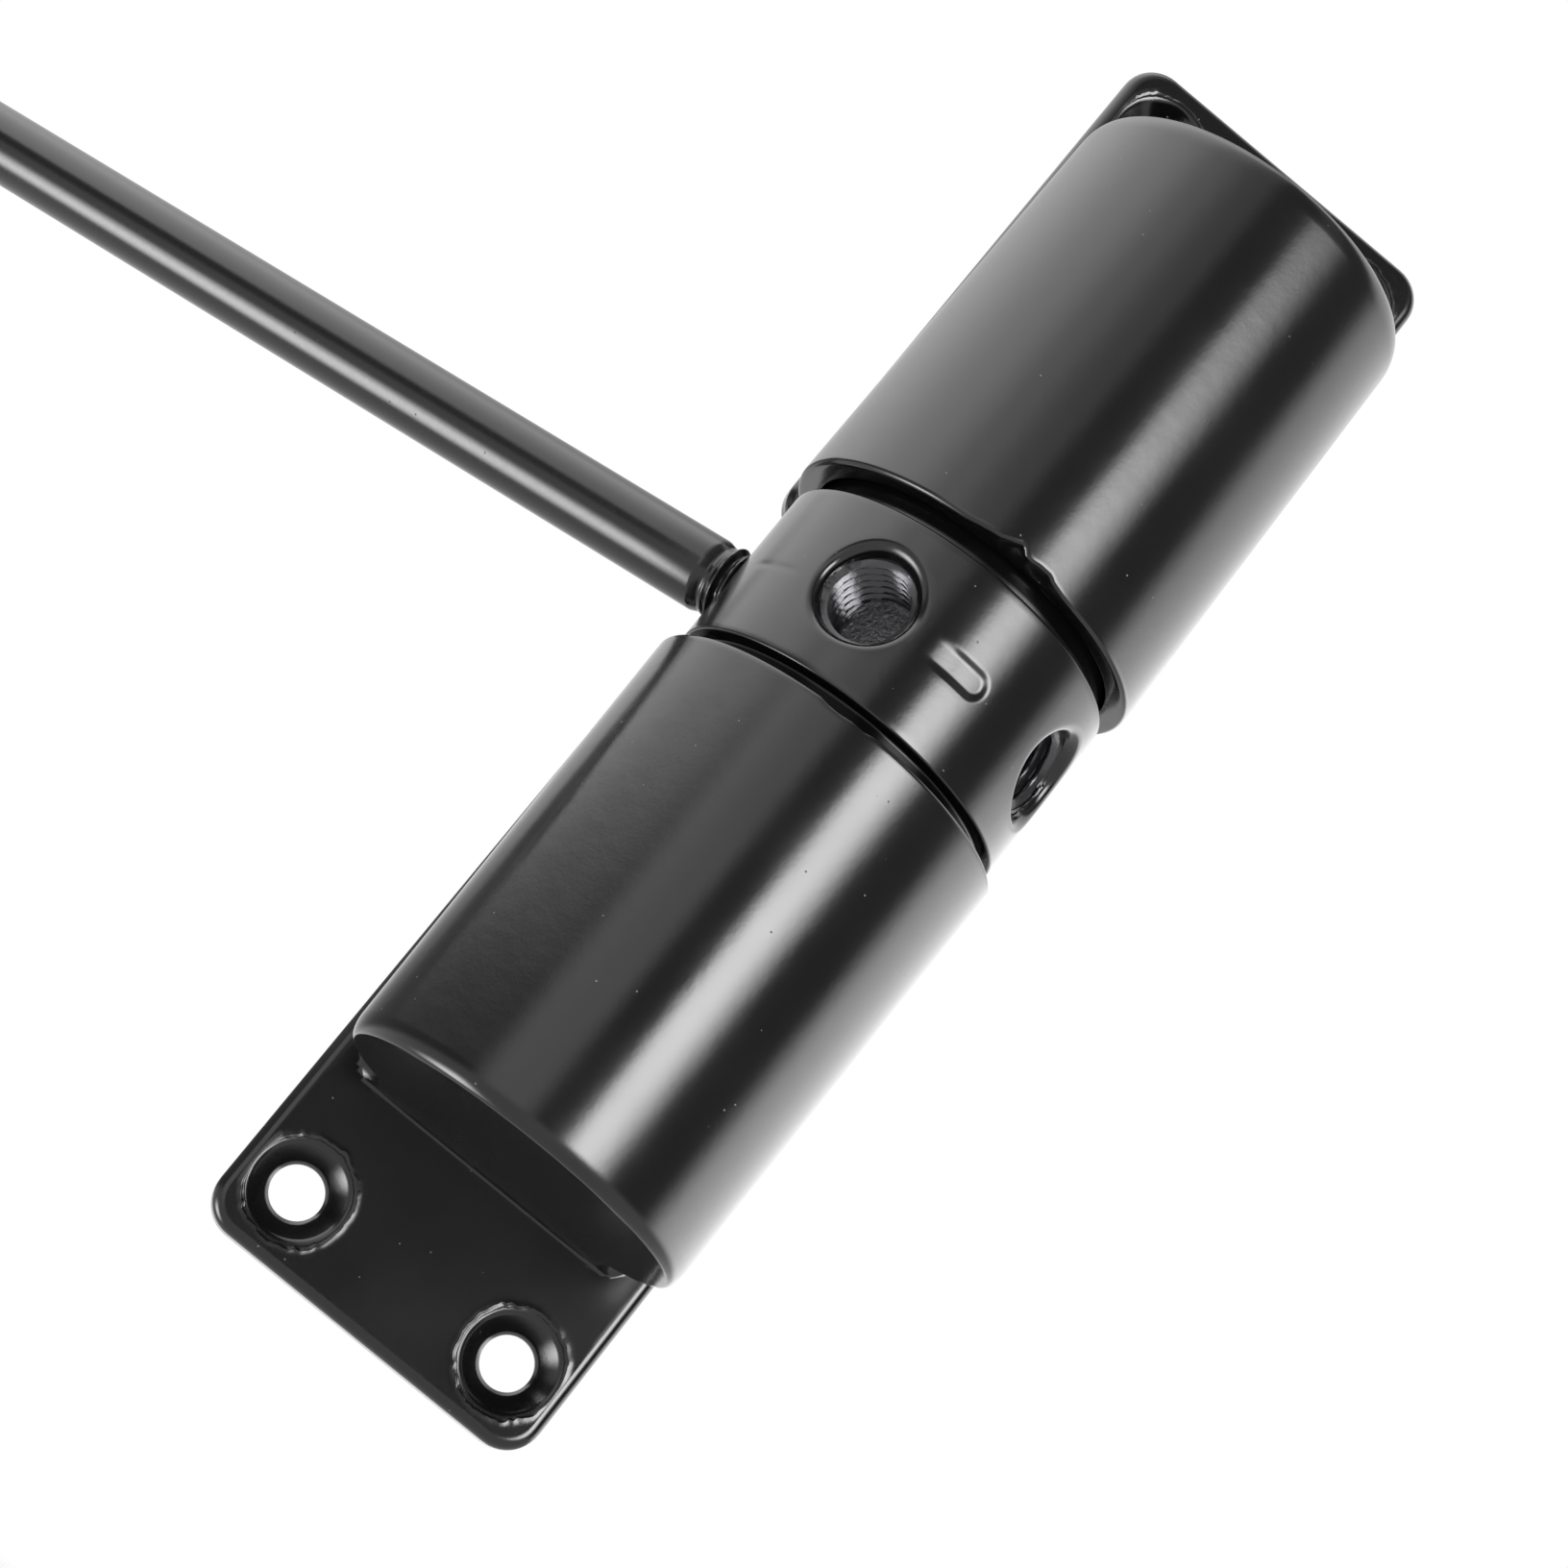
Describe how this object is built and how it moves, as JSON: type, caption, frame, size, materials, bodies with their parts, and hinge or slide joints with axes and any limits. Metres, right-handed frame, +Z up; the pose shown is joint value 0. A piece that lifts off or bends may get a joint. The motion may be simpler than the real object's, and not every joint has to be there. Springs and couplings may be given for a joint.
{
  "type": "spring door closer",
  "caption": "Surface-mounted spring door closer: two flanged barrel castings, a turning arm ring between them, and a spring-loaded rod with a roller.",
  "frame": {"origin": "centre of the four screw holes, on the mounting face", "axes": "+Z up along the barrel axis, +X to the right seen from the front, +Y into the door frame that the closer is screwed to, so the front faces -Y"},
  "size_m": [0.1977, 0.1116, 0.16],
  "materials": {
    "black_paint": "semi-gloss black paint on a zinc casting",
    "black_rod": "black coated drawn steel rod",
    "bright_steel": "zinc plated steel",
    "spring_steel": "oiled spring wire",
    "bronze": "sintered bronze",
    "nylon": "natural nylon"
  },
  "bodies": {
    "housing": {"lower_housing": "black_paint", "upper_housing": "black_paint", "centre_shaft": "bright_steel", "lower_spring": "spring_steel", "upper_spring": "spring_steel", "lower_thrust_washer": "nylon", "upper_thrust_washer": "nylon", "lower_spacer_sleeve": "bright_steel", "upper_spacer_sleeve": "bright_steel"},
    "arm": {"arm_ring": "black_paint", "lower_bush": "bronze", "upper_bush": "bronze", "arm_rod": "black_rod", "roller_fork": "bright_steel", "roller_axle": "bright_steel", "lower_roller_washer": "bright_steel", "upper_roller_washer": "bright_steel"},
    "roller_wheel": {"roller": "nylon"}
  },
  "joints": [
    {"name": "arm_swing", "type": "hinge", "parent": "housing", "child": "arm", "pos_m": [0, -0.0215, 0], "axis": [0, 0, 1], "range_deg": [0, 130], "stiffness_Nm_per_rad": 4.7, "deforming": ["lower_spring", "upper_spring"]},
    {"name": "roller_spin", "type": "hinge", "parent": "arm", "child": "roller_wheel", "pos_m": [-0.16656, 0.05902, 0], "axis": [0, 0, 1], "continuous": true}
  ]
}
